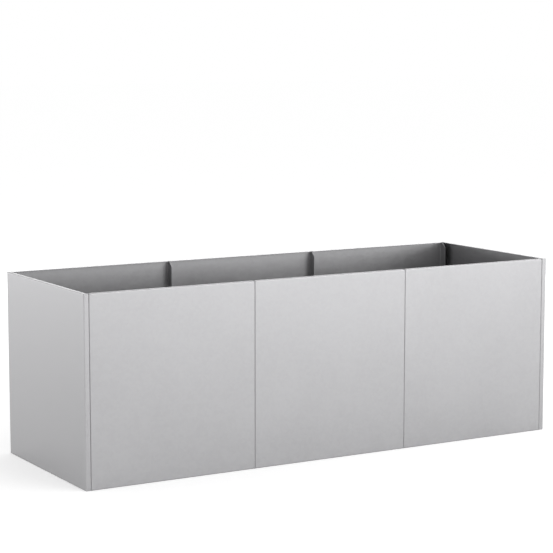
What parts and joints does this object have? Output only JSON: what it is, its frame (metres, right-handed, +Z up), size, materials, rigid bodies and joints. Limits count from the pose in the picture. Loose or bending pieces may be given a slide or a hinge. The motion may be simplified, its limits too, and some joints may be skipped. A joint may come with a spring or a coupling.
{
  "type": "planter box",
  "caption": "Long rectangular floor planter of folded galvanized sheet panels, bolted together at inside flanges, with an inward rim, cross ties and drained base panels.",
  "frame": {"origin": "middle of the footprint, on the floor it stands on", "axes": "+X along the length, +Y from the front to the back, +Z up"},
  "size_m": [1.16, 0.4, 0.4],
  "materials": {
    "galvanized_sheet": "satin hot-dip galvanized sheet with a fine spangle",
    "zinc_fasteners": "bright zinc plating"
  },
  "bodies": {
    "root": {"front_panel_left": "galvanized_sheet", "front_panel_middle": "galvanized_sheet", "front_panel_right": "galvanized_sheet", "back_panel_left": "galvanized_sheet", "back_panel_middle": "galvanized_sheet", "back_panel_right": "galvanized_sheet", "end_panel_left": "galvanized_sheet", "end_panel_right": "galvanized_sheet", "base_panel_left": "galvanized_sheet", "base_panel_middle": "galvanized_sheet", "base_panel_right": "galvanized_sheet", "tie_bar_left": "galvanized_sheet", "tie_bar_right": "galvanized_sheet", "front_left_corner_bolts": "zinc_fasteners", "front_left_corner_nuts": "zinc_fasteners", "back_left_corner_bolts": "zinc_fasteners", "back_left_corner_nuts": "zinc_fasteners", "left_seam_bolts": "zinc_fasteners", "left_seam_nuts": "zinc_fasteners", "left_tie_bolts": "zinc_fasteners", "left_tie_nuts": "zinc_fasteners", "front_right_corner_bolts": "zinc_fasteners", "front_right_corner_nuts": "zinc_fasteners", "back_right_corner_bolts": "zinc_fasteners", "back_right_corner_nuts": "zinc_fasteners", "right_seam_bolts": "zinc_fasteners", "right_seam_nuts": "zinc_fasteners", "right_tie_bolts": "zinc_fasteners", "right_tie_nuts": "zinc_fasteners"}
  },
  "joints": []
}
